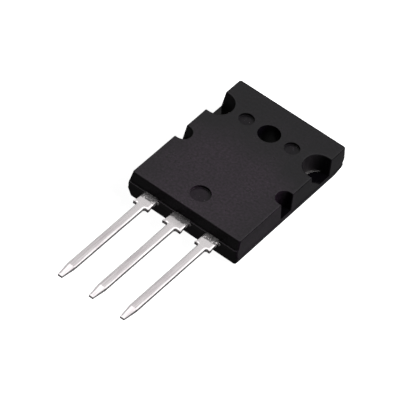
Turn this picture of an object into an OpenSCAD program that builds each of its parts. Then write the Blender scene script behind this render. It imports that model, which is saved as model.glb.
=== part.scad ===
// Power transistor in a flat moulded package with three leads and a screw hole.
// It lies on its heat spreader: +Z is up and the leads run out toward -Y.
// The origin is the screw hole's axis where it meets the back face.

/* [Moulded body] */
// Width of the body at its widest
body_w = 19.8; // [18:0.1:24]
// Length of the body at its longest
body_l = 26.2; // [24:0.1:32]
// Thickness of the body, back face to top face
body_h = 5; // [4.4:0.1:7]
// Height above the back face at which the sides and the far end stand out furthest
split_z = 1.7; // [1.4:0.05:2.8]
// How far the sides and the far end lean in from that height up to the top face
top_lean = 0.38; // [0.1:0.02:0.6]
// How far the sides and the far end lean in from that height down to the back face
back_lean = 0.5; // [0.1:0.02:0.6]
// Depth of the flat ledge in front of the lead-side face, level with the tops of the leads
ledge_d = 0.3; // [0.1:0.02:0.6]
// How far the lead-side face leans in from the ledge up to the top face
front_top_lean = 0.4; // [0.1:0.02:0.8]
// How far the lead-side face leans in from the leads' underside down to the back face
front_back_lean = 0.8; // [0.1:0.02:1]

/* [Screw hole] */
// Diameter of the screw hole
hole_d = 3.4; // [2.6:0.1:4]
// Distance from the hole's axis to the far end of the body
hole_to_end = 6.1; // [5:0.1:8]
// Thickness of the moulded lining between the screw hole and the heat spreader
lining_t = 0.75; // [0.5:0.05:1.2]

/* [Side notches] */
// Distance from the side of the body in to the centre of each notch's round end
notch_in = 0.8; // [0.3:0.05:1.1]
// Radius of the large notches at the top face
large_notch_r = 2.33; // [1.9:0.01:2.8]
// Radius of the small notches at the top face
small_notch_r = 1.36; // [1.1:0.01:1.8]
// How much each notch's radius narrows from the top face to its floor
notch_draft = 0.2; // [0:0.02:0.4]
// Distance from the hole's axis back to the small notches
small_notch_back = 8.35; // [7:0.05:11]
// Width of the crescent of heat spreader that shows on the floor of each large notch
crescent_w = 0.34; // [0.2:0.02:0.8]
// Moulded lining between the heat spreader and the floor of each small notch
small_notch_cover = 0.2; // [0.1:0.05:0.4]

/* [Ejector marks] */
// Diameter of the two small marks beside the screw hole
small_mark_d = 2.4; // [1.5:0.1:3]
// Distance from the hole's axis to each small mark
small_mark_x = 4.08; // [3.6:0.02:4.8]
// Diameter of the large mark near the leads
large_mark_d = 3.15; // [2:0.05:4]
// Distance from the lead side of the body to the large mark's centre
large_mark_in = 4.05; // [3:0.05:6]
// Depth of the marks below the top face
mark_depth = 0.4; // [0.1:0.05:0.5]

/* [Heat spreader] */
// Thickness of the heat spreader
spreader_t = 2; // [1.5:0.1:2.3]
// Moulded rim between the heat spreader and each long side of the body
side_rim = 1.2; // [1:0.05:2]
// Moulded rim between the heat spreader and the far end of the body
far_rim = 1.3; // [1:0.05:2]
// Distance from the lead side of the body to the heat spreader
front_rim = 3.5; // [3:0.1:5]
// Corner radius of the heat spreader
spreader_corner_r = 0.8; // [0.3:0.1:1.5]
// Overhang of the heat spreader's upper step, which locks it into the body
lock_w = 0.4; // [0.2:0.05:0.6]
// Height of the exposed lower step of the heat spreader
lock_z = 1.1; // [0.6:0.1:1.4]

/* [Leads] */
// Distance between the centres of neighbouring leads
lead_pitch = 5.45; // [4.8:0.05:6]
// Length of the leads outside the body
lead_l = 20.1; // [14:0.1:30]
// Width of the narrow part of each lead
lead_w = 1.3; // [1:0.05:1.6]
// Thickness of the leads
lead_t = 0.6; // [0.4:0.05:0.8]
// Height of the leads' underside above the back face
lead_z = 2.8; // [2.6:0.05:3.2]
// Length of the wide shoulders outside the body
shoulder_l = 2.3; // [1.5:0.05:4]
// Width of the shoulders of the two outer leads
outer_shoulder_w = 2.55; // [1.8:0.05:3.2]
// Width of the shoulder of the middle lead
mid_shoulder_w = 3.05; // [1.8:0.05:3.6]
// How far the sheared stubs stand out at the end of each shoulder
stub_out = 0.1; // [0.05:0.01:0.2]
// Length of the sheared stubs along the lead
stub_l = 0.5; // [0.3:0.05:1]
// Width of the lead at its tip
tip_w = 0.74; // [0.5:0.02:0.95]
// Length of the tapered tip
tip_l = 2.45; // [1:0.05:4]
// How much the tip is pressed thinner on its upper and lower face
tip_thin = 0.12; // [0:0.01:0.15]

/* [Inside the body] */
// Length of each lead inside the body before its pad or bend
neck_l = 1; // [0.8:0.1:1.4]
// Clearance between the heat spreader and the pads of the outer leads
pad_gap = 0.4; // [0.3:0.05:0.8]
// Width of the inner pads of the outer leads
pad_w = 3.4; // [3.3:0.1:4]
// Length of the middle lead's foot on the heat spreader
foot_l = 2.4; // [1.5:0.1:3]
// Clearance between the middle lead's foot and the solder under the chip
chip_gap = 1.2; // [0.5:0.1:2]
// Side of the square chip
chip_w = 6.5; // [4:0.1:7]
// Thickness of the chip
chip_t = 0.3; // [0.2:0.05:0.4]
// How far the solder shows around the chip
solder_rim = 0.2; // [0.1:0.05:0.4]
// Thickness of the solder under the chip
solder_t = 0.1; // [0.05:0.01:0.15]

/* [Bond wires] */
// Diameter of the two emitter wires
emitter_wire_d = 0.38; // [0.2:0.02:0.5]
// Distance between the two emitter wires on the pad
emitter_wire_gap = 1.2; // [1:0.1:1.6]
// Diameter of the base wire
base_wire_d = 0.25; // [0.15:0.01:0.3]
// Rise of each wire's loop above the straight line between its ends
loop_rise = 0.7; // [0.4:0.05:0.8]
// Length of the pressed foot at each end of a wire
bond_l = 0.9; // [0.6:0.1:1.2]

/* [Hidden] */
$fn = 96;

// Places along the part, from the hole's axis
far_y = hole_to_end;
front_y = hole_to_end - body_l;
tip_y = front_y - lead_l;
plate_front_y = front_y + front_rim;
plate_far_y = far_y - far_rim;
pad_end_y = plate_front_y - pad_gap;
pad_start_y = front_y + neck_l;
solder_w = chip_w + 2 * solder_rim;
chip_y = plate_front_y + foot_l + chip_gap + solder_w / 2;

// Place across the part of each notch's round end, from the middle line
notch_x = body_w / 2 - notch_in;

// Heights above the back face
lead_top = lead_z + lead_t;
chip_top = spreader_t + solder_t + chip_t;

// Where the wires land: on the pads, and at a third of the chip's side from its middle
pad_y = (pad_start_y + pad_end_y) / 2;
land_x = chip_w / 3;
land_y = chip_y - chip_w / 6;

// Width and height of a wire's pressed foot, in wire diameters
foot_wide = 1.6;
foot_high = 0.7;

// Overshoot of every cutter past the face that it cuts
past = 1;

// Plate with round vertical corners, centred on X, from y0 to y1 and up from z0
module round_plate(w, y0, y1, z0, h, r) {
    l = y1 - y0;
    translate([0, 0, z0]) linear_extrude(height = h) {
        translate([-w / 2 + r, y0]) square([w - 2 * r, l]);
        translate([-w / 2, y0 + r]) square([w, l - 2 * r]);
        for (x = [-w / 2 + r, w / 2 - r], y = [y0 + r, y1 - r])
            translate([x, y]) circle(r = r);
    }
}

// Section of the body across its width
module cross_section() {
    half = body_w / 2;
    polygon([[-half + back_lean, 0], [half - back_lean, 0], [half, split_z],
             [half - top_lean, body_h], [-half + top_lean, body_h], [-half, split_z]]);
}

// Section of the body along its length, with the ledge on the lead side
module long_section() {
    ledge_y = front_y + ledge_d;
    polygon([[front_y + front_back_lean, 0], [far_y - back_lean, 0], [far_y, split_z],
             [far_y - top_lean, body_h], [ledge_y + front_top_lean, body_h],
             [ledge_y, lead_top], [front_y, lead_top], [front_y, lead_z]]);
}

module body_block() {
    intersection() {
        translate([0, far_y + past, 0]) rotate([90, 0, 0])
            linear_extrude(height = body_l + 2 * past) cross_section();
        rotate([90, 0, 90])
            linear_extrude(height = body_w + 2 * past, center = true) long_section();
    }
}

// Cutter for one side notch on the +X side: a cone for the round end, which runs out
// to the side between two sloped walls that touch the cone
module side_notch(r, y) {
    floor_r = r - notch_draft;
    run_out = notch_in + past;
    translate([notch_x, y, spreader_t]) {
        cylinder(r1 = floor_r, r2 = r, h = body_h - spreader_t);
        translate([0, 0, body_h - spreader_t]) cylinder(r = r, h = past);
        rotate([90, 0, 90]) linear_extrude(height = run_out)
            polygon([[-floor_r, 0], [floor_r, 0], [r, body_h - spreader_t],
                     [r, body_h - spreader_t + past], [-r, body_h - spreader_t + past],
                     [-r, body_h - spreader_t]]);
    }
}

module notches() {
    for (side = [0, 1]) mirror([side, 0, 0]) {
        side_notch(large_notch_r, 0);
        side_notch(small_notch_r, -small_notch_back);
    }
}

module ejector_mark(d, x, y) {
    translate([x, y, body_h - mark_depth]) cylinder(d = d, h = mark_depth + past);
}

module mould_body() {
    color([0.17, 0.17, 0.18]) difference() {
        body_block();
        translate([0, 0, -past]) cylinder(d = hole_d, h = body_h + 2 * past);
        notches();
        for (side = [-1, 1]) ejector_mark(small_mark_d, side * small_mark_x, 0);
        ejector_mark(large_mark_d, 0, front_y + large_mark_in);
        heat_spreader();
        base_lead();
        collector_lead();
        emitter_lead();
        silicon_chip();
        chip_solder();
        base_wire();
        emitter_wire_left();
        emitter_wire_right();
    }
}

module heat_spreader() {
    upper_w = body_w - 2 * side_rim;
    color([0.72, 0.62, 0.52]) difference() {
        union() {
            round_plate(upper_w - 2 * lock_w, plate_front_y + lock_w, plate_far_y - lock_w,
                        0, lock_z, spreader_corner_r);
            round_plate(upper_w, plate_front_y, plate_far_y,
                        lock_z, spreader_t - lock_z, spreader_corner_r);
        }
        translate([0, 0, -past])
            cylinder(r = hole_d / 2 + lining_t, h = spreader_t + 2 * past);
        for (side = [-1, 1]) {
            translate([side * notch_x, 0, -past])
                cylinder(r = large_notch_r - notch_draft - crescent_w, h = spreader_t + 2 * past);
            translate([side * notch_x, -small_notch_back, -past])
                cylinder(r = small_notch_r - notch_draft + small_notch_cover,
                         h = spreader_t + 2 * past);
        }
    }
}

// Outline of a lead outside the body, seen from above, with its axis on X = 0
module lead_outline(shoulder_w) {
    shoulder_y = front_y - shoulder_l;
    taper_y = tip_y + tip_l;
    translate([-shoulder_w / 2, shoulder_y]) square([shoulder_w, shoulder_l + neck_l]);
    translate([-shoulder_w / 2 - stub_out, shoulder_y]) square([shoulder_w + 2 * stub_out, stub_l]);
    polygon([[-tip_w / 2, tip_y], [tip_w / 2, tip_y], [lead_w / 2, taper_y], [lead_w / 2, front_y],
             [-lead_w / 2, front_y], [-lead_w / 2, taper_y]]);
}

// Section along a lead: the pressed tip, the straight run and,
// past inner_y, a slope down by drop to a foot that ends at end_y
module lead_section(inner_y, slope_end_y, end_y, drop) {
    taper_y = tip_y + tip_l;
    polygon([[tip_y, lead_z + tip_thin], [taper_y, lead_z], [inner_y, lead_z],
             [slope_end_y, lead_z - drop], [end_y, lead_z - drop],
             [end_y, lead_top - drop], [slope_end_y, lead_top - drop],
             [inner_y, lead_top], [taper_y, lead_top], [tip_y, lead_top - tip_thin]]);
}

module outer_lead() {
    intersection() {
        linear_extrude(height = body_h) {
            lead_outline(outer_shoulder_w);
            translate([-pad_w / 2, pad_start_y]) square([pad_w, pad_end_y - pad_start_y]);
        }
        rotate([90, 0, 90]) linear_extrude(height = pad_w + past, center = true)
            lead_section(pad_start_y, pad_y, pad_end_y, 0);
    }
}

module base_lead() {
    color([0.8, 0.8, 0.81]) translate([-lead_pitch, 0, 0]) outer_lead();
}

module emitter_lead() {
    color([0.8, 0.8, 0.81]) translate([lead_pitch, 0, 0]) outer_lead();
}

module collector_lead() {
    foot_end_y = plate_front_y + foot_l;
    color([0.8, 0.8, 0.81]) intersection() {
        linear_extrude(height = body_h) {
            lead_outline(mid_shoulder_w);
            translate([-mid_shoulder_w / 2, front_y])
                square([mid_shoulder_w, foot_end_y - front_y]);
        }
        rotate([90, 0, 90]) linear_extrude(height = mid_shoulder_w + past, center = true)
            lead_section(pad_start_y, pad_end_y, foot_end_y, lead_z - spreader_t);
    }
}

module chip_solder() {
    color([0.6, 0.61, 0.63])
        translate([-solder_w / 2, chip_y - solder_w / 2, spreader_t])
            cube([solder_w, solder_w, solder_t]);
}

module silicon_chip() {
    color([0.35, 0.37, 0.42])
        translate([-chip_w / 2, chip_y - chip_w / 2, spreader_t + solder_t])
            cube([chip_w, chip_w, chip_t]);
}

// Bond wire of diameter d from a pad at (x0, pad_y) to the chip at (x1, y1): a pressed
// foot at each end and one arc between them, in the upright plane through both ends
module bond_wire(d, x0, x1, y1) {
    dx = x1 - x0;
    dy = y1 - pad_y;
    run = sqrt(dx * dx + dy * dy);
    drop = lead_top - chip_top;
    chord = sqrt(run * run + drop * drop);
    arc_r = (chord * chord / 4 + loop_rise * loop_rise) / (2 * loop_rise);
    half_angle = asin(chord / (2 * arc_r));
    foot = [bond_l, foot_wide * d, foot_high * d];
    translate([x0, pad_y, lead_top]) rotate([0, 0, atan2(dy, dx)]) {
        translate([-foot.x / 2, -foot.y / 2, 0]) cube(foot);
        translate([run - foot.x / 2, -foot.y / 2, -drop]) cube(foot);
        translate([0, 0, d / 2]) rotate([0, atan2(drop, run), 0])
            translate([chord / 2, 0, loop_rise - arc_r]) rotate([90, 0, 0])
                rotate([0, 0, 90 - half_angle]) rotate_extrude(angle = 2 * half_angle)
                    translate([arc_r, 0]) circle(d = d, $fn = 32);
    }
}

module base_wire() {
    color([0.86, 0.86, 0.87]) bond_wire(base_wire_d, -lead_pitch, -land_x, land_y);
}

module emitter_wire_left() {
    color([0.86, 0.86, 0.87])
        bond_wire(emitter_wire_d, lead_pitch - emitter_wire_gap / 2, land_x - emitter_wire_gap, chip_y);
}

module emitter_wire_right() {
    color([0.86, 0.86, 0.87])
        bond_wire(emitter_wire_d, lead_pitch + emitter_wire_gap / 2, land_x, chip_y);
}

mould_body();
heat_spreader();
base_lead();
collector_lead();
emitter_lead();
silicon_chip();
chip_solder();
base_wire();
emitter_wire_left();
emitter_wire_right();
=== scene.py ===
import math
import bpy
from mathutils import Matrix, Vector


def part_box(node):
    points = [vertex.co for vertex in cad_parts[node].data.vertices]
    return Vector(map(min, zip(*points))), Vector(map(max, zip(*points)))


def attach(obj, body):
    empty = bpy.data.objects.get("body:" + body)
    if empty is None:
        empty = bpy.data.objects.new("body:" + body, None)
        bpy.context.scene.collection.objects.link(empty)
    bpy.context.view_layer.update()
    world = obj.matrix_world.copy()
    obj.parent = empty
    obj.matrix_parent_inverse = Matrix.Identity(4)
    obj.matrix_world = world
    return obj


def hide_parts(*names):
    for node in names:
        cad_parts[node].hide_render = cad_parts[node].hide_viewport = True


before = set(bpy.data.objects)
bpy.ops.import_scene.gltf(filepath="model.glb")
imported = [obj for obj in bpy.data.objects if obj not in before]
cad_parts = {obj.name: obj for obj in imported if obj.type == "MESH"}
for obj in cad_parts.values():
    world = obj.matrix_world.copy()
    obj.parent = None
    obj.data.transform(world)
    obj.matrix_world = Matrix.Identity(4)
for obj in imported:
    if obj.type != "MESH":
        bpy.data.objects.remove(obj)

from types import SimpleNamespace

import bmesh
import bpy
from bpy.props import FloatProperty, FloatVectorProperty, IntProperty, PointerProperty
from bpy.types import Operator, Panel, PropertyGroup
from mathutils import Matrix, Vector

bl_info = {
    "name": "Power transistor",
    "version": (1, 0, 0),
    "blender": (4, 5, 0),
    "location": "View3D > Sidebar > Transistor",
    "description": "Moulded power transistor with a heat spreader and three tin-plated leads",
    "category": "Add Mesh",
}

# Shapes are worked out in millimetres, and each finished mesh is brought to metres
MM = 0.001
BODY = "root"

# Edges that turn further than this look sharp
SHARP = math.radians(35)

# Distances, in millimetres, under which points are merged, edges removed and heights the same
MERGE = 1e-4
TINY = 1e-5
LEVEL = 1e-6

# Where a face's normal puts it: flat enough to be moved up or down, a lead's end, a stub's side
FLAT_NORMAL = 0.3
END_NORMAL = -0.9
SIDE_NORMAL = 0.7

# A pattern that isn't stretched
EVEN = (1.0, 1.0, 1.0)

# Sides of the round loops, and how far an insert's flat faces stand out past its seat
HOLE_SIDES = 96
MARK_SIDES = 64
SEAT_PAST = 0.01

# Least radius of the notches' mouths, which would vanish where the top edge is rounded
LEAST_MOUTH = 0.02

# Material numbers on the moulded body and on the leads
MARK_FACE, NOTCH_FLOOR, NOTCH_WALL = 1, 2, 3
PLATED, SHEARED = 0, 1

# The compound is mixed to a darker tone between these places along the body and out to its sides
DARKEN_START, DARKEN_FULL = -8.0, -1.5
SIDE_DARKEN_START, SIDE_DARKEN_FULL = 5.0, 9.5
# It reflects less than clear epoxy
COMPOUND_IOR = 1.38

# Distances from the body: where the tools dulled the leads most and least, and where the film of
# resin begins and is whole
DULLED_MOST, DULLED_LEAST = 9.0, 2.5
FILM_START, FILM_WHOLE = 1.05, 0.85

# Grain of the torn stubs, how far it pulls their ends in and sinks them, and their height
TEAR_WIDTH = 0.2
TEAR_PULL = 0.09
TEAR_SINK = 0.05
STUB_SHARE = 0.9

# The view is aimed at a point this far in from the lead side and over the back face, and the
# camera is then moved a little across and up
AIM_IN = 5.0
AIM_HEIGHT = 3.0
AIM_ACROSS = -0.276
AIM_UP = -0.069
SKY_POWER = 1.75
FLOOR_HALF = 1500
FLOOR_BELOW = 0.01


def linear(colour):
    """The linear RGBA of an sRGB hex colour."""
    parts = [int(colour[i:i + 2], 16) / 255 for i in (1, 3, 5)]
    return [p / 12.92 if p <= 0.04045 else ((p + 0.055) / 1.055) ** 2.4 for p in parts] + [1.0]


def length(name, description, millimetres):
    """A size that the user can change, kept in metres."""
    return FloatProperty(name=name, description=description, default=millimetres * MM, min=0.0,
                         precision=5, unit="LENGTH")


def colour(name, description, default):
    """A colour that the user can change."""
    return FloatVectorProperty(name=name, description=description, default=linear(default),
                               size=4, min=0.0, max=1.0, subtype="COLOR")


def in_mm(group):
    """The sizes of a property group, in millimetres."""
    return SimpleNamespace(**{k: getattr(group, k) / MM for k in group.__annotations__})


def node_box(name):
    """Lowest and highest corner of a CAD node, in millimetres."""
    low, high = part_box(name)
    return low / MM, high / MM


class BodySizes(PropertyGroup):
    split_height: length("Split height", "Where the sides and far end stand out furthest", 1.7)
    flash: length("Flash", "How far the mould's parting line stands out along the sides", 0.1)
    flash_radius: length("Flash radius", "Radius of the parting line's outer edge", 0.08)
    front_corner: length("Front corners", "Radius of the corners beside the leads", 0.55)
    far_corner: length("Far corners", "Radius of the far corners at the split", 1.15)
    upper_corner: length("Far corners above", "Radius of the far corners just above the split", 0.38)
    back_corner: length("Far corners below", "Radius of the far corners at the back face", 1.5)
    face_corner: length("Face corners", "Radius of the top corners and the front ones below", 0.35)
    edge_radius: length("Edge radius", "Radius of the edges round the top and back face", 0.18)
    ledge_edge_radius: length("Ledge edge radius", "Radius of the outer edge of the ledge", 0.14)
    lean_up: length("Lean up", "How far the sides lean in up to the top face", 0.38)
    lean_down: length("Lean down", "How far the sides lean in down to the back face", 0.5)
    ledge_depth: length("Ledge depth", "Depth of the ledge level with the leads' tops", 0.3)
    front_lean_up: length("Front lean up", "How far the lead side leans in above the ledge", 0.4)
    front_lean_down: length("Front lean down", "How far the lead side leans in below the leads", 0.8)
    hole_diameter: length("Hole", "Diameter of the screw hole", 3.4)
    hole_edge_radius: length("Hole edge radius", "Radius of the hole's edges", 0.06)
    notch_in: length("Notch centre", "Distance from the side in to the small notches' centres", 0.8)
    large_notch_in: length("Large notch centre", "Distance from the side in to the large ones", 0.93)
    large_notch_back: length("Large notch place", "Distance from the hole back to them", 0.13)
    large_notch: length("Large notch", "Radius of the large notches at the top face", 2.33)
    small_notch: length("Small notch", "Radius of the small notches at the top face", 1.36)
    notch_draft: length("Notch draft", "How much the notches narrow down to their floors", 0.2)
    small_notch_back: length("Small notch place", "Distance from the hole back to the small ones",
                             8.35)
    mouth_radius: length("Mouth radius", "Radius of the upright edges where the notches open", 0.14)
    small_mark: length("Small marks", "Diameter of the ejector marks beside the hole", 2.4)
    small_mark_out: length("Small mark place", "Distance from the hole to each small mark", 4.08)
    large_mark: length("Large mark", "Diameter of the ejector mark near the leads", 3.15)
    large_mark_in: length("Large mark place", "Distance from the lead side to the large mark", 4.05)
    mark_depth: length("Mark depth", "Depth of the ejector marks", 0.4)
    mark_edge_radius: length("Mark edge radius", "Radius of the marks' rims", 0.06)


class SpreaderSizes(PropertyGroup):
    corner_radius: length("Corner radius", "Radius of the heat spreader's upright corners", 0.8)
    edge_radius: length("Edge radius", "Radius of the stamped edges", 0.08)
    step_in: length("Step", "Overhang of the upper step over the exposed one", 0.4)
    step_height: length("Step height", "Height of the exposed step", 1.1)
    hole_radius: length("Hole radius", "Radius of the hole for the screw hole's lining", 2.45)
    crescent: length("Crescent", "Widest part of the metal that shows in each large notch", 0.42)
    bite_radius: length("Bites", "Radius of the plate's bites at the large notches", 2.94)
    bite_back: length("Bite place", "Distance from the hole back to the bites' centres", 0.37)
    cover: length("Cover", "Moulded lining round each small notch", 0.2)


class LeadSizes(PropertyGroup):
    run_width: length("Width", "Width of the narrow part of a lead", 1.3)
    outer_shoulder: length("Outer shoulders", "Width of the outer leads' shoulders", 2.55)
    middle_shoulder: length("Middle shoulder", "Width of the middle lead's shoulder", 3.05)
    shoulder_length: length("Shoulder length", "Length of the shoulders outside the body", 2.3)
    neck_length: length("Neck", "Length of the shoulder inside the body", 1.0)
    pad_gap: length("Pad gap", "Clearance between the heat spreader and the outer pads", 0.4)
    foot_length: length("Foot", "Length of the middle lead's foot on the heat spreader", 2.4)
    tip_width: length("Tip width", "Width at the end of the tip", 0.74)
    tip_length: length("Tip length", "Length of the pressed tip", 2.45)
    tip_thin: length("Tip thinning", "How much the tip is pressed thinner on each face", 0.1)
    rolled_width: length("Rolled edge", "Width of the rounding that the punch leaves on top", 0.3)
    rolled_depth: length("Roll depth", "Depth of that rounding", 0.16)
    lower_edge: length("Lower edge", "Radius of the lower edges", 0.04)
    inner_corner: length("Inner corner", "Radius between the shoulder and the narrow run", 0.3)
    stub_out: length("Stub", "How far the sheared stubs stand out", 0.1)
    stub_length: length("Stub length", "Length of the sheared stubs along the lead", 0.5)
    bead_place: length("Bead place", "Distance from the body to the bead of tin", 0.21)
    bead_radius: length("Bead radius", "Radius of the bead of tin on each right edge", 0.22)


class Finishes(PropertyGroup):
    compound: colour("Compound", "Black epoxy moulding compound", "#251b25")
    compound_darker: colour("Far compound", "Greyer compound toward the far end", "#08060b")
    fleck: colour("Fleck", "Pale flecks on the ejector marks", "#5a565a")
    # Painted shade: the near-black tone of the notch floors, also mixed into the lines on the notch
    # walls
    notch_shade: colour("Pocket", "Compound in the mould's deep corners", "#060507")
    notch_wall: colour("Notch wall", "Greyer skin on the walls of the large notches", "#2e2b2e")
    tin: colour("Tin", "Satin tin plating", "#ebe8e8")
    tin_dull: colour("Dull tin", "Streaks where the tin is duller", "#cbc5c7")
    sheared: colour("Sheared edge", "Bare sheared metal", "#b5afaf")
    resin: colour("Resin bleed", "Film of resin on the tin next to the body", "#3d3a3c")
    nickel: colour("Nickel", "Plated copper of the heat spreader", "#d4d2d1")
    silicon: colour("Silicon", "Metallised silicon of the chip", "#8a8d96")
    solder: colour("Solder", "Dull solder", "#a4a6a9")
    wire: colour("Wire", "Drawn aluminium wire", "#dcdcdf")
    floor: colour("Floor", "Plain pale floor", "#f7f7f7")


class StudioSettings(PropertyGroup):
    azimuth: FloatProperty(name="Azimuth", description="Camera's angle round the part",
                           default=math.radians(30.02), subtype="ANGLE")
    elevation: FloatProperty(name="Elevation", description="Camera's height angle",
                             default=math.radians(46.94), subtype="ANGLE")
    roll: FloatProperty(name="Roll", description="Turn of the picture round the line of sight",
                        default=math.radians(10.55), subtype="ANGLE")
    distance: length("Distance", "From the camera to the point it looks at", 485.4)
    lens: FloatProperty(name="Lens", description="Focal length for a 36 mm wide picture",
                        default=310.5, unit="CAMERA")
    sky: FloatProperty(name="Sky", description="Brightness of the studio's walls and ceiling",
                       default=1.0, min=0.0)
    grain_seed: IntProperty(name="Seed", description="Seed of the torn stubs", default=7)


def ramp(low, high, steps):
    """Evenly spaced values from low to high, both included."""
    return [low + (high - low) * i / steps for i in range(steps + 1)]


def arc(x, y, radius, start, end, steps):
    """Points of a plan arc, from one angle to another in degrees."""
    return [(x + radius * math.cos(math.radians(a)), y + radius * math.sin(math.radians(a)))
            for a in ramp(start, end, steps)]


def circle(x, y, radius, sides):
    """Points of a whole plan circle."""
    return arc(x, y, radius, 0, 360 * (sides - 1) / sides, sides - 1)


def mirrored(points):
    """The same path on the other side of the middle plane, still counter-clockwise."""
    return [(-x, y) for x, y in reversed(points)]


def ring(mesh, points, z):
    """A loop of new vertices at one height."""
    return [mesh.verts.new((x, y, z)) for x, y in points]


def loft(mesh, rings, material=0):
    """Joins each loop of vertices to the next with a band of faces."""
    for lower, upper in zip(rings, rings[1:]):
        count = len(lower)
        for i in range(count):
            j = (i + 1) % count
            face = mesh.faces.new((lower[i], lower[j], upper[j], upper[i]))
            face.material_index = material


def close(mesh, edges, up):
    """Closes the flat region between edges; up is 1 for a face that looks up and -1 for down."""
    made = bmesh.ops.triangle_fill(mesh, use_beauty=True, use_dissolve=False, edges=edges,
                                   normal=(0, 0, up))
    return [g for g in made["geom"] if isinstance(g, bmesh.types.BMFace)]


def fill(mesh, loops, up):
    """Closes the flat region between loops of vertices."""
    edges = [mesh.edges.get((vertex, loop[(i + 1) % len(loop)]))
             for loop in loops for i, vertex in enumerate(loop)]
    return close(mesh, edges, up)


def rounded(radius, steps=4):
    """Steps of a quarter round from an upright wall to a flat face, as (inset, height left)."""
    return [(radius * (1 - math.cos(a)), radius * (1 - math.sin(a)))
            for a in ramp(0, math.pi / 2, steps)]


def mark_sharp(mesh):
    """Marks the edges that look sharp: those that turn far, and any open one."""
    for edge in mesh.edges:
        edge.smooth = len(edge.link_faces) == 2 and edge.calc_face_angle() < SHARP


def stand(name, data):
    """A new object in the scene, at the origin."""
    thing = bpy.data.objects.new(name, data)
    bpy.context.scene.collection.objects.link(thing)
    return thing


def finished(name, mesh, materials):
    """Makes a piece at the origin from a mesh in millimetres, with its sharp edges marked."""
    bmesh.ops.remove_doubles(mesh, verts=mesh.verts, dist=MERGE)
    bmesh.ops.dissolve_degenerate(mesh, edges=mesh.edges, dist=TINY)
    bmesh.ops.recalc_face_normals(mesh, faces=mesh.faces)
    for face in mesh.faces:
        face.smooth = True
    mark_sharp(mesh)
    data = bpy.data.meshes.new(name)
    mesh.to_mesh(data)
    mesh.free()
    piece = stand(name, data)
    for material in materials:
        data.materials.append(material)
    return piece


def keep_insert(piece):
    """Keeps a copy of a plain piece, in millimetres, that cuts its seat in the body.

    Its top and bottom are moved out a little, so that none lies in the plane of a face of the body.
    """
    data = piece.data.copy()
    shifts = [math.copysign(SEAT_PAST, v.normal.z) if abs(v.normal.z) > FLAT_NORMAL else 0.0
              for v in data.vertices]
    for vertex, shift in zip(data.vertices, shifts):
        vertex.co.z += shift
    bpy.data.objects.new("insert_" + piece.name, data)


def apply_modifiers(piece):
    """Replaces the piece's mesh with what its modifiers make of it."""
    bpy.context.view_layer.update()
    depsgraph = bpy.context.evaluated_depsgraph_get()
    data = bpy.data.meshes.new_from_object(piece.evaluated_get(depsgraph), depsgraph=depsgraph)
    piece.modifiers.clear()
    piece.data = data


def settle(piece):
    """Applies the piece's modifiers and brings its mesh to metres."""
    weights = piece.modifiers.new("Flat faces stay flat", "WEIGHTED_NORMAL")
    weights.keep_sharp = True
    apply_modifiers(piece)
    piece.data.transform(Matrix.Scale(MM, 4))
    piece.data.name = piece.name


def hand_over(piece, slot, *nodes):
    """Puts a finished piece on the part's body in place of its CAD nodes."""
    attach(piece, BODY)
    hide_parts(*nodes)


def feed(node, inputs):
    """Sets a node's inputs, by name or number; a node given as a value gives its first output."""
    for key, value in inputs.items():
        if isinstance(value, bpy.types.Node):
            value = next(output for output in value.outputs if output.enabled)
        if isinstance(value, bpy.types.NodeSocket):
            node.id_data.links.new(value, node.inputs[key])
        else:
            node.inputs[key].default_value = value


def add(tree, kind, inputs=None, **settings):
    """Adds a node with its settings and its inputs."""
    made = tree.nodes.new(kind)
    for key, value in settings.items():
        setattr(made, key, value)
    feed(made, inputs or {})
    return made


def finish_of(name):
    """The tree of a new material, with its shader."""
    material = bpy.data.materials.new(name)
    material.use_nodes = True
    tree = material.node_tree
    tree.nodes.clear()
    shader = add(tree, "ShaderNodeBsdfPrincipled")
    add(tree, "ShaderNodeOutputMaterial", {"Surface": shader})
    return tree, shader


def pattern_place(tree, stretch=EVEN):
    """Object coordinates in millimetres, stretched along an axis where a pattern runs along it."""
    place = add(tree, "ShaderNodeTexCoord")
    return add(tree, "ShaderNodeMapping", {"Vector": place.outputs["Object"],
                                           "Scale": [s / MM for s in stretch]})


def surface(shader, tone, pattern, rough, spread=(0.3, 0.7), bump=None, others=None):
    """Gives a shader its colour, and a roughness and a bump that follow patterns.

    rough is the lowest and highest roughness, spread the pattern's values where they are reached,
    bump a pattern with its strength and its height in millimetres, and others any further inputs.
    """
    roughness = add(shader.id_data, "ShaderNodeMapRange", {
        "Value": pattern, "From Min": spread[0], "From Max": spread[1],
        "To Min": rough[0], "To Max": rough[1]})
    feed(shader, {"Base Color": tone, "Roughness": roughness, **(others or {})})
    if bump:
        height, strength, distance = bump
        raised = add(shader.id_data, "ShaderNodeBump", {
            "Height": height, "Strength": strength, "Distance": distance * MM})
        feed(shader, {"Normal": raised})


def grained(name, tones, grain, rough, others, stretch=EVEN, detail=3.0, uneven=0.5, bump=None):
    """A material of two tones, whose one grain, of a size in mm, also sets roughness and bump."""
    tree, shader = finish_of(name)
    noise = add(tree, "ShaderNodeTexNoise", {
        "Vector": pattern_place(tree, stretch), "Scale": 1 / grain, "Detail": detail,
        "Roughness": uneven})
    base = add(tree, "ShaderNodeMix", {0: noise, 6: tones[0], 7: tones[1]}, data_type="RGBA")
    surface(shader, base, noise, rough, bump=bump and (noise, *bump), others=others)


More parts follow.
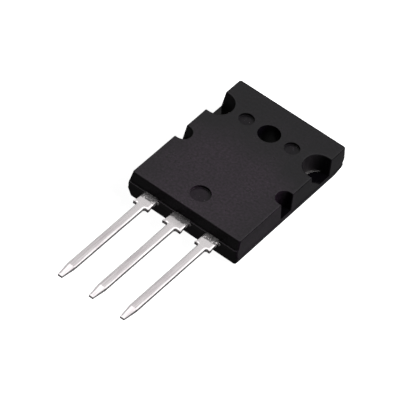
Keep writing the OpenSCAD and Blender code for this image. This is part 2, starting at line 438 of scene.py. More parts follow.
def moulded_epoxy(looks):
    """Epoxy compound moulded against spark-eroded steel.

    Gives the eye a dark satin face with a sandy grain, purplish near the leads and greyer beyond.
    """
    tree, shader = finish_of("Moulded epoxy compound")
    place = pattern_place(tree)
    cloud = add(tree, "ShaderNodeTexNoise", {"Vector": place, "Scale": 1 / 3.5, "Detail": 3.0})
    # The steel's grain is about 0.03 mm; it is drawn at 0.36 mm, the finest that shows
    grain = add(tree, "ShaderNodeTexNoise", {"Vector": place, "Scale": 1 / 0.36, "Detail": 2.0})
    apart = add(tree, "ShaderNodeSeparateXYZ", {0: place})
    # The compound is mixed to its darker tone toward the far end and out along the sides
    far = add(tree, "ShaderNodeMapRange", {
        "Value": apart.outputs["Y"], "From Min": DARKEN_START, "From Max": DARKEN_FULL},
        interpolation_type="SMOOTHSTEP")
    aside = add(tree, "ShaderNodeMath", {0: apart.outputs["X"]}, operation="ABSOLUTE")
    side = add(tree, "ShaderNodeMapRange", {
        "Value": aside, "From Min": SIDE_DARKEN_START, "From Max": SIDE_DARKEN_FULL, "To Max": 0.6})
    flow = add(tree, "ShaderNodeMath", {0: far, 1: side}, operation="ADD")
    cloudy = add(tree, "ShaderNodeMath", {0: cloud, 1: 0.9, 2: flow}, operation="MULTIPLY_ADD")
    tint = add(tree, "ShaderNodeMapRange", {"Value": cloudy, "From Min": 0.35, "From Max": 1.45})
    base = add(tree, "ShaderNodeMix", {
        0: tint, 6: looks.compound, 7: looks.compound_darker}, data_type="RGBA")
    sand = add(tree, "ShaderNodeMapRange", {
        "Value": grain, "From Min": 0.25, "From Max": 0.75, "To Min": 0.15, "To Max": 1.85})
    sandy = add(tree, "ShaderNodeVectorMath", {0: base, "Scale": sand}, operation="SCALE")
    surface(shader, sandy, cloud, (0.27, 0.33), bump=(grain, 0.6, 0.03),
            others={"IOR": COMPOUND_IOR})


def ejector_face(looks):
    """The compound where a worn ejector pin pressed on it.

    Gives the eye a disc duller than the face round it, mottled, with a few pale flecks.
    """
    tree, shader = finish_of("Ejector pin face")
    place = pattern_place(tree)
    blotch = add(tree, "ShaderNodeTexNoise", {
        "Vector": place, "Scale": 1 / 0.45, "Detail": 4.0, "Roughness": 0.6})
    fleck = add(tree, "ShaderNodeTexNoise", {"Vector": place, "Scale": 1 / 0.3, "Detail": 1.0})
    pale = add(tree, "ShaderNodeMapRange", {"Value": fleck, "From Min": 0.72, "From Max": 0.8})
    apart = add(tree, "ShaderNodeSeparateXYZ", {0: place})
    far = add(tree, "ShaderNodeMapRange", {
        "Value": apart.outputs["Y"], "From Min": DARKEN_START, "From Max": DARKEN_FULL,
        "To Max": 0.45})
    mottled = add(tree, "ShaderNodeMath", {0: blotch, 1: far})
    base = add(tree, "ShaderNodeMix", {
        0: mottled, 6: looks.compound, 7: looks.compound_darker}, data_type="RGBA")
    flecked = add(tree, "ShaderNodeMix", {0: pale, 6: base, 7: looks.fleck}, data_type="RGBA")
    # It reflects less than the compound beside it, because the worn pin leaves the disc dull
    surface(shader, flecked, blotch, (0.3, 0.5), spread=(0.35, 0.65), bump=(blotch, 0.8, 0.03),
            others={"IOR": 1.3})


def notch_floor(looks):
    """Epoxy compound that a polished pin shaped, on the floors of the side notches.

    Gives the eye a near mirror on a near-black base of painted shade, black where it shows the
    notch's walls.
    """
    # Its near-black base tone is painted shade in the notches
    grained("Polished epoxy compound", (looks.notch_shade, looks.compound_darker), grain=0.6,
            rough=(0.06, 0.12), others={"IOR": COMPOUND_IOR}, detail=2.0)


def notch_wall(looks):
    """Epoxy compound against a ground steel pin, on the walls of the large notches.

    Gives the eye a matt dark grey wall with fine upright lines.
    """
    # Its fine lines mix in the near-black painted shade of the notch floors
    grained("Ground epoxy compound", (looks.notch_wall, looks.notch_shade), grain=0.2,
            rough=(0.4, 0.5), others={"IOR": COMPOUND_IOR}, stretch=(1.0, 1.0, 0.1), detail=2.0)


def tin_plating(looks):
    """Satin tin plated on stamped copper.

    Gives the eye a pale grey mirror with drawn streaks, stained by resin next to the body.
    """
    tree, shader = finish_of("Tin plating")
    place = pattern_place(tree)
    streak = add(tree, "ShaderNodeTexNoise", {
        "Vector": pattern_place(tree, (1.0, 0.06, 1.0)), "Scale": 1 / 0.22, "Detail": 3.0,
        "Roughness": 0.6})
    speck = add(tree, "ShaderNodeTexNoise", {
        "Vector": place, "Scale": 1 / 0.28, "Detail": 3.0, "Roughness": 0.65})
    dull = add(tree, "ShaderNodeMapRange", {"Value": streak, "From Min": 0.35, "From Max": 0.75})
    front = node_box("mould_body")[0].y
    apart = add(tree, "ShaderNodeSeparateXYZ", {0: place})
    # The runs were drawn through the tools more than the shoulders
    handled = add(tree, "ShaderNodeMapRange", {
        "Value": apart.outputs["Y"], "From Min": front - DULLED_MOST,
        "From Max": front - DULLED_LEAST, "To Min": 1.35, "To Max": 0.2})
    duller = add(tree, "ShaderNodeMath", {0: dull, 1: handled}, operation="MULTIPLY")
    base = add(tree, "ShaderNodeMix", {
        0: duller, 6: looks.tin, 7: looks.tin_dull}, data_type="RGBA")
    near = add(tree, "ShaderNodeMapRange", {
        "Value": apart.outputs["Y"], "From Min": front - FILM_START,
        "From Max": front - FILM_WHOLE})
    patchy = add(tree, "ShaderNodeMapRange", {
        "Value": speck, "From Min": 0.38, "From Max": 0.5, "To Max": 0.85})
    bleed = add(tree, "ShaderNodeMath", {0: near, 1: patchy}, operation="MULTIPLY")
    stained = add(tree, "ShaderNodeMix", {0: bleed, 6: base, 7: looks.resin}, data_type="RGBA")
    # The film is resin, so it keeps its own grey where bare tin would mirror the black body
    bare = add(tree, "ShaderNodeMath", {0: 1.0, 1: bleed}, operation="SUBTRACT")
    surface(shader, stained, streak, (0.1, 0.18), bump=(streak, 0.15, 0.01),
            others={"Metallic": bare})


def sheared_metal(looks):
    """Edges that the punch sheared.

    Gives the eye a mid grey band, duller than the plating, with upright scratches.
    """
    grained("Sheared edge", (looks.sheared, looks.tin_dull), grain=0.08, rough=(0.4, 0.6),
            others={"Metallic": 1.0}, stretch=(1.0, 1.0, 0.12), uneven=0.6, bump=(0.5, 0.02))


def plated_copper(looks):
    """Nickel-plated rolled copper.

    Gives the eye a satin grey plate with fine rolling lines along the part.
    """
    tree, shader = finish_of("Nickel-plated copper")
    lines = add(tree, "ShaderNodeTexNoise", {
        "Vector": pattern_place(tree, (1.0, 0.04, 1.0)), "Scale": 1 / 0.12, "Detail": 4.0,
        "Roughness": 0.6})
    cloud = add(tree, "ShaderNodeTexNoise", {
        "Vector": pattern_place(tree), "Scale": 1 / 3.0, "Detail": 3.0})
    dull = add(tree, "ShaderNodeMath", {0: cloud, 1: 0.35}, operation="MULTIPLY")
    base = add(tree, "ShaderNodeMix", {
        0: dull, 6: looks.nickel, 7: looks.tin_dull}, data_type="RGBA")
    surface(shader, base, lines, (0.3, 0.42), bump=(lines, 0.35, 0.01), others={"Metallic": 1.0})


def inner_metal(name, tone, grain, rough, stretch=EVEN):
    """A metal sealed in the package, with grain of its own size and direction."""
    darker = [c * 0.8 for c in tone[:3]] + [1.0]
    grained(name, (tone, darker), grain, rough, {"Metallic": 1.0}, stretch)


def pale_floor(looks):
    """Matt white card, lit evenly from behind; gives the eye a plain pale ground."""
    tree, shader = finish_of("Matt white card")
    cloud = add(tree, "ShaderNodeTexNoise", {"Vector": pattern_place(tree), "Scale": 1 / 40.0})
    surface(shader, looks.floor, cloud, (0.85, 0.95), spread=(0.0, 1.0), others={
        "Specular IOR Level": 0.0, "Emission Color": looks.floor, "Emission Strength": 1.05})


def body_shape():
    """Sizes of the body that come from its CAD node."""
    low, high = node_box("mould_body")
    lead_low, lead_high = node_box("base_lead")
    return SimpleNamespace(half=high.x, front=low.y, far=high.y, top=high.z, parting=lead_low.z,
                           ledge=lead_high.z, floor=node_box("heat_spreader")[1].z)


def share(value, low, high):
    """Where value lies between low and high, as 0 to 1."""
    return (value - low) / (high - low)


def notch_path(half, centre_x, centre_y, radius, mouth):
    """Path round a notch that opens to the side at half, with rounded upright edges."""
    entry = arc(half - mouth, centre_y - radius - mouth, mouth, 0, 90, 5)
    round_end = arc(centre_x, centre_y, radius, -90, -270, 48)
    leave = arc(half - mouth, centre_y + radius + mouth, mouth, -90, 0, 5)
    return entry + round_end + leave


def between(value, places, sizes):
    """Size at a height, on straight lines between the sizes given for some heights."""
    for (z0, z1), (a, b) in zip(zip(places, places[1:]), zip(sizes, sizes[1:])):
        if value <= z1:
            return a + (b - a) * share(value, z0, z1)
    return sizes[-1]


def body_outline(shape, size, z, inset=0.0, notched=True, above_ledge=False, ledge_inset=0.0,
                 side_inset=0.0):
    """Outline of the moulded body at height z.

    The insets move it in: all round, at the ledge alone, or along the sides and the far end, where
    the last one is given for the split height.
    """
    heights = (0.0, size.split_height, shape.top)
    side = between(z, heights, (size.lean_down, side_inset, size.lean_up))
    face = size.face_corner
    if above_ledge:
        front = size.ledge_depth + size.front_lean_up * share(z, shape.ledge, shape.top)
        near = face - inset
    else:
        front = between(z, (0.0, shape.parting, shape.top), (size.front_lean_down, 0.0, 0.0))
        near = between(z, (0.0, size.split_height), (face, size.front_corner)) - inset
    half = shape.half - side - inset
    front_y = shape.front + front + inset + ledge_inset
    far_y = shape.far - side - inset
    corner = between(z, (0.0, size.split_height, shape.parting, shape.top),
                     (size.back_corner, size.far_corner, size.upper_corner, face)) - inset
    rise = max(0.0, share(z, shape.floor, shape.top))
    narrowing = size.notch_draft * (1 - rise)
    path = arc(half - near, front_y + near, near, -90, 0, 10)
    for radius, far_in, back in ((size.small_notch, size.notch_in, size.small_notch_back),
                                 (size.large_notch, size.large_notch_in, size.large_notch_back)):
        notch = notch_path(half, shape.half - far_in, -back, radius - narrowing + inset,
                           max(size.mouth_radius - inset, LEAST_MOUTH))
        path += notch if notched else [(half, y) for _, y in notch]
    path += arc(half - corner, far_y - corner, corner, 0, 90, 10)
    return path + mirrored(path)


def ejector_mark(mesh, size, top, x, y, diameter):
    """A shallow round recess in the top face, with rounded rims."""
    rim = rounded(size.mark_edge_radius, 3)
    floor = top - size.mark_depth
    loops = [ring(mesh, circle(x, y, diameter / 2 + size.mark_edge_radius - i, MARK_SIDES), top - h)
             for i, h in reversed(rim)]
    loops += [ring(mesh, circle(x, y, diameter / 2 - i, MARK_SIDES), floor + h) for i, h in rim]
    loft(mesh, loops)
    for face in fill(mesh, [loops[-1]], 1):
        face.material_index = MARK_FACE


class TRANSISTOR_OT_heat_spreader(Operator):
    """Make the stamped copper plate that carries the chip, with its locking step"""
    bl_idname = "transistor.heat_spreader"
    bl_label = "Heat spreader"

    def outline(self, half, front, far, corner, notches):
        """Plan of the plate, with a bite for each notch of the body."""
        path = arc(half - corner, front + corner, corner, -90, 0, 8)
        for centre_x, centre_y, radius in notches:
            reach = math.degrees(math.acos((half - centre_x) / radius))
            path += arc(centre_x, centre_y, radius, -reach, reach - 360, 40)
        path += arc(half - corner, far - corner, corner, 0, 90, 8)
        return path + mirrored(path)

    def execute(self, context):
        size = in_mm(context.scene.transistor_spreader)
        body = in_mm(context.scene.transistor_body)
        low, high = node_box("heat_spreader")
        side = node_box("mould_body")[1].x
        small = body.small_notch - body.notch_draft + size.cover
        # The bites are wider than the notches, so the metal shows most where a notch is deepest
        deepest = side - body.large_notch_in - (body.large_notch - body.notch_draft - size.crescent)
        mesh = bmesh.new()
        profile = [(size.step_in + i, h) for i, h in reversed(rounded(size.edge_radius))]
        profile += [(size.step_in, size.step_height), (0.0, size.step_height)]
        profile += [(i, high.z - h) for i, h in rounded(size.edge_radius / 2)]
        rings = []
        bores = []
        for inset, z in profile:
            edge = inset if inset < size.step_in else inset - size.step_in
            notches = [(side - body.notch_in, -body.small_notch_back, small + edge),
                       (deepest + size.bite_radius, -size.bite_back, size.bite_radius + edge)]
            points = self.outline(high.x - inset, low.y + inset, high.y - inset,
                                  size.corner_radius - edge, notches)
            rings.append(ring(mesh, points, z))
            bores.append(ring(mesh, circle(0, 0, size.hole_radius + edge, HOLE_SIDES), z))
        loft(mesh, rings)
        loft(mesh, bores)
        fill(mesh, [rings[0], bores[0]], -1)
        fill(mesh, [rings[-1], bores[-1]], 1)
        piece = finished("spreader_plate", mesh, [bpy.data.materials["Nickel-plated copper"]])
        keep_insert(piece)
        settle(piece)
        hand_over(piece, "plated_copper", "heat_spreader")
        return {"FINISHED"}


def inset_path(points, distance):
    """A closed counter-clockwise path moved inwards by a distance, corner by corner."""
    moved = []
    count = len(points)
    for i in range(count):
        here = Vector(points[i])
        before = (here - Vector(points[i - 1])).normalized()
        after = (Vector(points[(i + 1) % count]) - here).normalized()
        first = Vector((-before.y, before.x))
        second = Vector((-after.y, after.x))
        shift = (first + second) / (1 + first.dot(second))
        moved.append(tuple(here + shift * distance))
    return moved


def lead_outline(size, shoulder, front, tip, inner):
    """Plan of a lead with its axis on X = 0; inner gives the corners inside the body."""
    shoulder_y = front - size.shoulder_length
    taper_y = tip + size.tip_length
    half = size.run_width / 2
    corner = size.inner_corner
    path = [(size.tip_width / 2, tip), (half, taper_y)]
    path += arc(half + corner, shoulder_y - corner, corner, 180, 90, 4)
    path += [(shoulder / 2, shoulder_y)] + inner
    return path + mirrored(path)


def stub_tree():
    """Torn stubs on both sides of a shoulder, where the tie bar was cut, and a bead of tin."""
    tree = bpy.data.node_groups.new("Torn stubs", "GeometryNodeTree")
    face = tree.interface
    face.new_socket("Geometry", in_out="INPUT", socket_type="NodeSocketGeometry")
    for name in ("Middle", "Half width", "Place along", "Height", "Out", "Length", "Thickness",
                 "Bead along", "Bead size", "Seed"):
        face.new_socket(name, in_out="INPUT", socket_type="NodeSocketFloat")
    for name in ("Plating", "Torn metal"):
        face.new_socket(name, in_out="INPUT", socket_type="NodeSocketMaterial")
    face.new_socket("Geometry", in_out="OUTPUT", socket_type="NodeSocketGeometry")
    given = add(tree, "NodeGroupInput").outputs
    double = add(tree, "ShaderNodeMath", {0: given["Out"], 1: 2.0}, operation="MULTIPLY")
    size = add(tree, "ShaderNodeCombineXYZ", {
        0: double, 1: given["Length"], 2: given["Thickness"]})
    block = add(tree, "GeometryNodeMeshCube", {
        "Size": size, "Vertices X": 5, "Vertices Y": 9, "Vertices Z": 7})
    edges = []
    spots = []
    for side in ("SUBTRACT", "ADD"):
        edge = add(tree, "ShaderNodeMath", {
            0: given["Middle"], 1: given["Half width"]}, operation=side)
        spot = add(tree, "ShaderNodeCombineXYZ", {
            0: edge, 1: given["Place along"], 2: given["Height"]})
        edges.append(edge)
        spots.append(spot)
    sides = add(tree, "GeometryNodeMeshLine", {
        "Count": 2, "Start Location": spots[0], "Offset": spots[1]}, mode="END_POINTS")
    named = add(tree, "GeometryNodeStoreNamedAttribute", {
        "Geometry": block, "Name": "stub", "Value": 1.0})
    stubs = add(tree, "GeometryNodeInstanceOnPoints", {"Points": sides, "Instance": named})
    # The bead hangs on the right edge, where the plating ran together next to the body
    round_bead = add(tree, "GeometryNodeMeshUVSphere", {
        "Segments": 16, "Rings": 10, "Radius": given["Bead size"]})
    reach = add(tree, "ShaderNodeMath", {
        0: given["Bead size"], 1: 0.5, 2: edges[1]}, operation="MULTIPLY_ADD")
    hung = add(tree, "ShaderNodeCombineXYZ", {
        0: reach, 1: given["Bead along"], 2: given["Height"]})
    bead = add(tree, "GeometryNodeTransform", {
        "Geometry": round_bead, "Translation": hung, "Scale": (1.0, 0.9, 1.4)})
    smooth = add(tree, "GeometryNodeSetShadeSmooth", {"Geometry": bead})
    plated = add(tree, "GeometryNodeSetMaterial", {
        "Geometry": smooth, "Material": given["Plating"]})
    both = add(tree, "GeometryNodeJoinGeometry")
    for part in (given["Geometry"], stubs, plated):
        feed(both, {0: part})
    solid = add(tree, "GeometryNodeRealizeInstances", {0: both})
    # The torn ends keep inside a stub's own length, so the noise only pulls points inwards
    is_stub = add(tree, "GeometryNodeInputNamedAttribute", {"Name": "stub"}, data_type="FLOAT")
    place = add(tree, "GeometryNodeInputPosition")
    moved = add(tree, "ShaderNodeVectorMath", {0: place, 1: given["Seed"]})
    tear = add(tree, "ShaderNodeTexNoise", {
        "Vector": moved, "Scale": 1 / TEAR_WIDTH, "Detail": 2.0})
    apart = add(tree, "ShaderNodeSeparateXYZ", {0: place})
    away = add(tree, "ShaderNodeMath", {
        0: apart.outputs["X"], 1: given["Middle"]}, operation="SUBTRACT")
    outward = add(tree, "ShaderNodeMath", {0: away}, operation="SIGN")
    depth = add(tree, "ShaderNodeMath", {0: tear, 1: outward}, operation="MULTIPLY")
    pull = add(tree, "ShaderNodeMath", {0: depth, 1: -TEAR_PULL}, operation="MULTIPLY")
    sink = add(tree, "ShaderNodeMath", {0: tear, 1: -TEAR_SINK}, operation="MULTIPLY")
    shift = add(tree, "ShaderNodeCombineXYZ", {0: pull, 2: sink})
    torn = add(tree, "GeometryNodeSetPosition", {
        "Geometry": solid, "Selection": is_stub, "Offset": shift})
    normal = add(tree, "GeometryNodeInputNormal")
    facing = add(tree, "ShaderNodeSeparateXYZ", {0: normal})
    steep = add(tree, "ShaderNodeMath", {
        0: facing.outputs["Z"], 1: SIDE_NORMAL}, operation="LESS_THAN")
    sheared = add(tree, "ShaderNodeMath", {0: steep, 1: is_stub}, operation="MULTIPLY")
    tinned = add(tree, "GeometryNodeSetMaterial", {
        "Geometry": torn, "Selection": is_stub, "Material": given["Plating"]})
    bare = add(tree, "GeometryNodeSetMaterial", {
        "Geometry": tinned, "Selection": sheared, "Material": given["Torn metal"]})
    add(tree, "NodeGroupOutput", {0: bare})
    return tree


class TRANSISTOR_OT_leads(Operator):
    """Make the three stamped and tin-plated leads, with the stubs of the sheared tie bar"""
    bl_idname = "transistor.leads"
    bl_label = "Leads"

    def lead(self, context, name, node, shoulder, inner, bend):
        """One lead; bend gives places along it with how far the metal there is raised."""
        size = in_mm(context.scene.transistor_leads)
        low, high = node_box(node)
        shape = body_shape()
        thickness = shape.ledge - shape.parting
        middle = (low.x + high.x) / 2
        plan = lead_outline(size, shoulder, shape.front, low.y, inner)
        mesh = bmesh.new()
        loops = [ring(mesh, inset_path(plan, i), shape.parting + h)
                 for i, h in reversed(rounded(size.lower_edge, 2))]
        loops += [ring(mesh, inset_path(plan, i * size.rolled_width),
                       shape.ledge - h * size.rolled_depth) for i, h in rounded(1.0, 8)]
        loft(mesh, loops)
        fill(mesh, [loops[0]], -1)
        fill(mesh, [loops[-1]], 1)
        taper_y = low.y + size.tip_length
        cuts = ramp(low.y, taper_y, 8)[1:] + [y for y, _ in bend]
        for y in cuts:
            bmesh.ops.bisect_plane(mesh, geom=mesh.verts[:] + mesh.edges[:] + mesh.faces[:],
                                   plane_co=(0, y, 0), plane_no=(0, 1, 0), dist=TINY)
        centre = shape.parting + thickness / 2
        for vertex in mesh.verts:
            pressed = max(0.0, share(vertex.co.y, taper_y, low.y))
            thinner = 1 - pressed * 2 * size.tip_thin / thickness
            vertex.co.z = centre + (vertex.co.z - centre) * thinner
            for (y0, z0), (y1, z1) in zip(bend, bend[1:]):
                if vertex.co.y > y0:
                    vertex.co.z += (z1 - z0) * min(1.0, share(vertex.co.y, y0, y1))
            vertex.co.x += middle
        mesh.normal_update()
        for face in mesh.faces:
            face.material_index = SHEARED if face.normal.y < END_NORMAL else PLATED
        materials = [bpy.data.materials["Tin plating"], bpy.data.materials["Sheared edge"]]
        piece = finished(name, mesh, materials)
        keep_insert(piece)
        stubs = piece.modifiers.new("Torn stubs", "NODES")
        stubs.node_group = self.stubs
        along = shape.front - size.shoulder_length + size.stub_length / 2
        values = {"Half width": shoulder / 2, "Place along": along, "Height": centre,
                  "Out": size.stub_out, "Length": size.stub_length,
                  "Thickness": thickness * STUB_SHARE,
                  "Bead along": shape.front - size.bead_place, "Bead size": size.bead_radius,
                  "Middle": middle, "Seed": float(context.scene.transistor_studio.grain_seed),
                  "Plating": materials[0], "Torn metal": materials[1]}
        for item in self.stubs.interface.items_tree:
            if item.in_out == "INPUT" and item.name in values:
                stubs[item.identifier] = values[item.name]
        settle(piece)
        hand_over(piece, "tin_plating", node)

    def execute(self, context):
        size = in_mm(context.scene.transistor_leads)
        shape = body_shape()
        plate_low = node_box("heat_spreader")[0]
        pad_half = (node_box("base_lead")[1].x - node_box("base_lead")[0].x) / 2
        pad_start = shape.front + size.neck_length
        pad_end = plate_low.y - size.pad_gap
        foot_end = plate_low.y + size.foot_length
        self.stubs = stub_tree()
        outer = size.outer_shoulder
        pad = [(outer / 2, pad_start), (pad_half, pad_start), (pad_half, pad_end)]
        self.lead(context, "lead_of_base", "base_lead", outer, pad, [])
        self.lead(context, "lead_of_emitter", "emitter_lead", outer, pad, [])
        bend = [(pad_start, 0.0), (pad_end, shape.floor - shape.parting)]
        self.lead(context, "lead_of_collector", "collector_lead", size.middle_shoulder,
                  [(size.middle_shoulder / 2, foot_end)], bend)
        return {"FINISHED"}


class TRANSISTOR_OT_moulded_body(Operator):
    """Mould the epoxy body round the heat spreader and the leads"""
    bl_idname = "transistor.moulded_body"
    bl_label = "Moulded body"

    def execute(self, context):
        size = in_mm(context.scene.transistor_body)
        shape = body_shape()
        mesh = bmesh.new()
        edge = rounded(size.edge_radius)
        steps = [(h, {"inset": i, "notched": False}) for i, h in reversed(edge)]
        steps += [(size.split_height - h, {"side_inset": i, "notched": False})
                  for i, h in rounded(size.flash_radius, 3)]
        out = size.flash
        steps += [(size.split_height, {"side_inset": out, "notched": False}),
                  (shape.floor, {"side_inset": out, "notched": False}),
                  (shape.floor, {"side_inset": out}), (shape.parting, {"side_inset": out})]
        steps += [(shape.ledge - h, {"ledge_inset": i, "side_inset": out})
                  for i, h in rounded(size.ledge_edge_radius)]
        steps += [(shape.ledge, {"above_ledge": True, "side_inset": out})]
        steps += [(shape.top - h, {"inset": i, "above_ledge": True, "side_inset": out})
                  for i, h in edge]
        rings = [ring(mesh, body_outline(shape, size, z, **how), z) for z, how in steps]
        loft(mesh, rings)
        middle = shape.half - size.large_notch_in
        for face in mesh.faces:
            place = face.calc_center_median()
            away = math.hypot(abs(place.x) - middle, place.y + size.large_notch_back)
            if all(abs(vertex.co.z - shape.floor) < LEVEL for vertex in face.verts):
                face.material_index = NOTCH_FLOOR
            elif away < size.large_notch and place.z > shape.floor:
                face.material_index = NOTCH_WALL
        rim = rounded(size.hole_edge_radius)
        radius = size.hole_diameter / 2
        wall = [(radius + i, h) for i, h in reversed(rim)]
        wall += [(radius + i, shape.top - h) for i, h in rim]
        loft(mesh, [ring(mesh, circle(0, 0, r, HOLE_SIDES), z) for r, z in wall])
        for x, y, diameter in ((-size.small_mark_out, 0, size.small_mark),
                               (size.small_mark_out, 0, size.small_mark),
                               (0, shape.front + size.large_mark_in, size.large_mark)):
            ejector_mark(mesh, size, shape.top, x, y, diameter)
        bmesh.ops.remove_doubles(mesh, verts=mesh.verts, dist=MERGE)
        open_edges = [e for e in mesh.edges if len(e.link_faces) == 1]
        for level, up in ((0.0, -1), (shape.top, 1)):
            close(mesh, [e for e in open_edges
                         if all(abs(v.co.z - level) < MERGE for v in e.verts)], up)
        materials = [bpy.data.materials[name] for name in
                     ("Moulded epoxy compound", "Ejector pin face", "Polished epoxy compound",
                      "Ground epoxy compound")]
        piece = finished("body_moulding", mesh, materials)
        inserts = []
        for name in ("spreader_plate", "lead_of_base", "lead_of_collector", "lead_of_emitter"):
            insert = bpy.data.objects["insert_" + name]
            context.scene.collection.objects.link(insert)
            inserts.append(insert)
            cut = piece.modifiers.new(name, "BOOLEAN")
            cut.operation = "DIFFERENCE"
            cut.solver = "EXACT"
            cut.object = insert
        apply_modifiers(piece)
        cut_mesh = bmesh.new()
        cut_mesh.from_mesh(piece.data)
        mark_sharp(cut_mesh)
        cut_mesh.to_mesh(piece.data)
        cut_mesh.free()
        settle(piece)
        for insert in inserts:
            bpy.data.objects.remove(insert)
        hand_over(piece, "mould_compound", "mould_body")
        return {"FINISHED"}


class TRANSISTOR_OT_inner_parts(Operator):
    """Finish the chip, its solder and the bond wires, which the body hides"""
    bl_idname = "transistor.inner_parts"
    bl_label = "Inner parts"

    def execute(self, context):
        looks = context.scene.transistor_finishes
        inner_metal("Metallised silicon", looks.silicon, grain=0.2, rough=(0.1, 0.2))
        inner_metal("Dull solder", looks.solder, grain=0.3, rough=(0.45, 0.65))
        inner_metal("Drawn aluminium", looks.wire, grain=0.05, rough=(0.2, 0.3),
                    stretch=(1.0, 0.1, 1.0))
        for name, finish in (("silicon_chip", "Metallised silicon"), ("chip_solder", "Dull solder"),
                             ("base_wire", "Drawn aluminium"),
                             ("emitter_wire_left", "Drawn aluminium"),
                             ("emitter_wire_right", "Drawn aluminium")):
            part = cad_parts[name]
            material = bpy.data.materials[finish]
            if not part.material_slots:
                part.data.materials.append(material)
            for slot in part.material_slots:
                slot.material = material
        return {"FINISHED"}


class TRANSISTOR_OT_finishes(Operator):
    """Mix the materials of the part and of the floor"""
    bl_idname = "transistor.finishes"
    bl_label = "Finishes"

    def execute(self, context):
        looks = context.scene.transistor_finishes
        for mix in (moulded_epoxy, ejector_face, notch_floor, notch_wall, tin_plating,
                    sheared_metal, plated_copper, pale_floor):
            mix(looks)
        return {"FINISHED"}


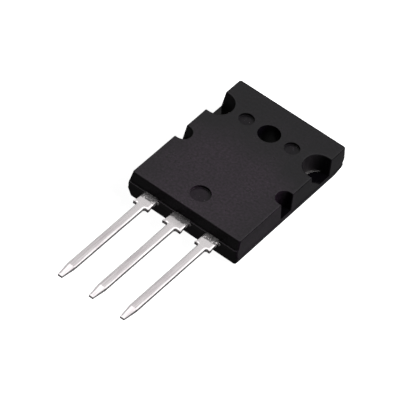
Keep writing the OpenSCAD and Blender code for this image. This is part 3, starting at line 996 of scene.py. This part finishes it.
class TRANSISTOR_OT_stage(Operator):
    """Set the floor, the studio light and the camera of the photograph's view"""
    bl_idname = "transistor.stage"
    bl_label = "Stage"

    def floor(self):
        """A white card under the part, a hair below its back face."""
        mesh = bmesh.new()
        bmesh.ops.create_grid(mesh, x_segments=1, y_segments=1, size=FLOOR_HALF)
        floor = finished("floor", mesh, [bpy.data.materials["Matt white card"]])
        floor.data.transform(Matrix.Translation((0, 0, -FLOOR_BELOW)))
        floor.data.transform(Matrix.Scale(MM, 4))
        # The compound's sheen shows the dark of the studio below, not the card
        floor.visible_glossy = False
        floor.visible_diffuse = False

    def sky(self, strength):
        """The studio's walls and ceiling, which the part reflects."""
        world = bpy.context.scene.world or bpy.data.worlds.new("Studio")
        bpy.context.scene.world = world
        world.use_nodes = True
        tree = world.node_tree
        tree.nodes.clear()
        view = add(tree, "ShaderNodeTexCoord").outputs["Generated"]
        apart = add(tree, "ShaderNodeSeparateXYZ", {0: view})

        def toward(direction, start, end, low, high):
            """A tone that runs from low to high as the view nears a direction."""
            along = add(tree, "ShaderNodeVectorMath", {
                0: view, 1: direction}, operation="DOT_PRODUCT")
            return add(tree, "ShaderNodeMapRange", {
                "Value": along, "From Min": start, "From Max": end, "To Min": low,
                "To Max": high})

        tones = add(tree, "ShaderNodeValToRGB", {"Fac": apart.outputs["Z"]})
        stops = [(0.0, 0.06), (0.25, 0.12), (0.45, 0.31), (0.7, 0.31), (0.755, 0.45), (0.79, 0.9),
                 (1.0, 1.0)]
        marks = tones.color_ramp.elements
        while len(marks) < len(stops):
            marks.new(0.5)
        for mark, (where, tone) in zip(marks, stops):
            mark.position = where
            mark.color = (tone, tone * 0.985, tone * 0.99, 1.0)
        # The camera's side of the studio is dark above; a grey card stands on the left
        back = add(tree, "ShaderNodeMapRange", {
            "Value": apart.outputs["Y"], "From Min": -0.6, "From Max": 0.2, "To Min": 0.25})
        ceiling = add(tree, "ShaderNodeVectorMath", {0: tones, "Scale": back}, operation="SCALE")
        grey = toward((-0.76, 0.58, 0.3), 0.88, 0.98, 0.0, 0.2)
        # The far wall is a dark gap, and the right-hand wall is dimmer than the ceiling
        dark = toward((-0.33, 0.93, 0.15), 0.87, 0.95, 1.0, 0.05)
        right = add(tree, "ShaderNodeMapRange", {
            "Value": apart.outputs["X"], "From Min": -0.3, "From Max": 0.1, "To Min": 1.0,
            "To Max": 0.75})
        dimmed = add(tree, "ShaderNodeMath", {0: dark, 1: right}, operation="MULTIPLY")
        walls = add(tree, "ShaderNodeVectorMath", {0: ceiling, 1: grey})
        upper = add(tree, "ShaderNodeVectorMath", {0: walls, "Scale": dimmed}, operation="SCALE")
        # Low down only a dim card stands behind on the right, and one before the part
        behind = toward((0.4, 0.56, -0.72), 0.88, 0.98, 0.0, 0.1)
        before = add(tree, "ShaderNodeMapRange", {
            "Value": apart.outputs["Y"], "From Min": -0.85, "From Max": -0.1, "To Min": 0.095,
            "To Max": 0.014})
        low = add(tree, "ShaderNodeMath", {0: behind, 1: before})
        above = add(tree, "ShaderNodeMapRange", {
            "Value": apart.outputs["Z"], "From Min": -0.1, "From Max": 0.1})
        whole = add(tree, "ShaderNodeMix", {0: above, 6: low, 7: upper}, data_type="RGBA")
        light = add(tree, "ShaderNodeBackground", {
            "Color": whole, "Strength": strength * SKY_POWER})
        add(tree, "ShaderNodeOutputWorld", {"Surface": light})
        world.cycles_visibility.diffuse = False

    def softbox(self, name, direction, distance, width, power):
        """A square light that faces the screw hole from a direction."""
        light = bpy.data.lights.new(name, "AREA")
        light.shape = "SQUARE"
        light.size = width * MM
        light.energy = power
        box = stand(name, light)
        box.location = Vector(direction).normalized() * distance * MM
        box.rotation_mode = "QUATERNION"
        box.rotation_quaternion = Vector(direction).to_track_quat("Z", "Y")
        return box

    def camera(self, studio):
        """The camera of the photograph's view."""
        sin, cos = math.sin, math.cos
        back = Vector((sin(studio.azimuth) * cos(studio.elevation),
                       -cos(studio.azimuth) * cos(studio.elevation), sin(studio.elevation)))
        right = Vector((0, 0, 1)).cross(back).normalized()
        up = back.cross(right)
        across = cos(studio.roll) * right + sin(studio.roll) * up
        upward = -sin(studio.roll) * right + cos(studio.roll) * up
        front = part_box("mould_body")[0].y
        target = Vector((0, front + AIM_IN * MM, AIM_HEIGHT * MM))
        place = (target + studio.distance * back + across * (AIM_ACROSS * MM)
                 + upward * (AIM_UP * MM))
        lens = bpy.data.cameras.new("Camera")
        lens.sensor_width = 36.0
        lens.lens = studio.lens
        lens.clip_start = 10 * MM
        lens.clip_end = 10.0
        camera = stand("Camera", lens)
        camera.matrix_world = Matrix((
            (across.x, upward.x, back.x, place.x), (across.y, upward.y, back.y, place.y),
            (across.z, upward.z, back.z, place.z), (0, 0, 0, 1)))
        bpy.context.scene.camera = camera

    def execute(self, context):
        studio = context.scene.transistor_studio
        self.floor()
        self.sky(studio.sky)
        self.softbox("Right softbox", direction=(0.45, 0.6, 0.6), distance=600, width=330,
                     power=0.5)
        key = self.softbox("Key light", direction=(0.73, 0.33, 0.6), distance=800, width=400,
                           power=6.5)
        # The key lights the compound's own colour and leaves the reflections to the walls
        key.visible_glossy = False
        self.camera(studio)
        context.scene.view_settings.view_transform = "Standard"
        return {"FINISHED"}


class TRANSISTOR_PT_panel(Panel):
    """Builds the transistor and shows its sizes"""
    bl_label = "Power transistor"
    bl_idname = "TRANSISTOR_PT_panel"
    bl_space_type = "VIEW_3D"
    bl_region_type = "UI"
    bl_category = "Transistor"

    def draw(self, context):
        """Shows a button for each step and the sizes of each group."""
        for operator in OPERATORS:
            self.layout.operator(operator.bl_idname)
        for name, group in GROUPS.items():
            box = self.layout.box()
            for key in group.__annotations__:
                box.prop(getattr(context.scene, name), key)


GROUPS = {
    "transistor_body": BodySizes,
    "transistor_spreader": SpreaderSizes,
    "transistor_leads": LeadSizes,
    "transistor_finishes": Finishes,
    "transistor_studio": StudioSettings,
}
OPERATORS = (TRANSISTOR_OT_finishes, TRANSISTOR_OT_heat_spreader, TRANSISTOR_OT_leads,
             TRANSISTOR_OT_moulded_body, TRANSISTOR_OT_inner_parts, TRANSISTOR_OT_stage)


def register():
    """Adds the groups, the operators and the panel."""
    for kind in (*GROUPS.values(), *OPERATORS, TRANSISTOR_PT_panel):
        bpy.utils.register_class(kind)
    for name, group in GROUPS.items():
        setattr(bpy.types.Scene, name, PointerProperty(type=group))


def unregister():
    """Takes them away again."""
    for name in GROUPS:
        delattr(bpy.types.Scene, name)
    for kind in (TRANSISTOR_PT_panel, *OPERATORS, *GROUPS.values()):
        bpy.utils.unregister_class(kind)


def main():
    """Registers the add-on and builds the whole scene."""
    register()
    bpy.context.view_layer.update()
    bpy.ops.transistor.finishes()
    bpy.ops.transistor.heat_spreader()
    bpy.ops.transistor.leads()
    bpy.ops.transistor.moulded_body()
    bpy.ops.transistor.inner_parts()
    bpy.ops.transistor.stage()


if __name__ == "__main__":
    main()
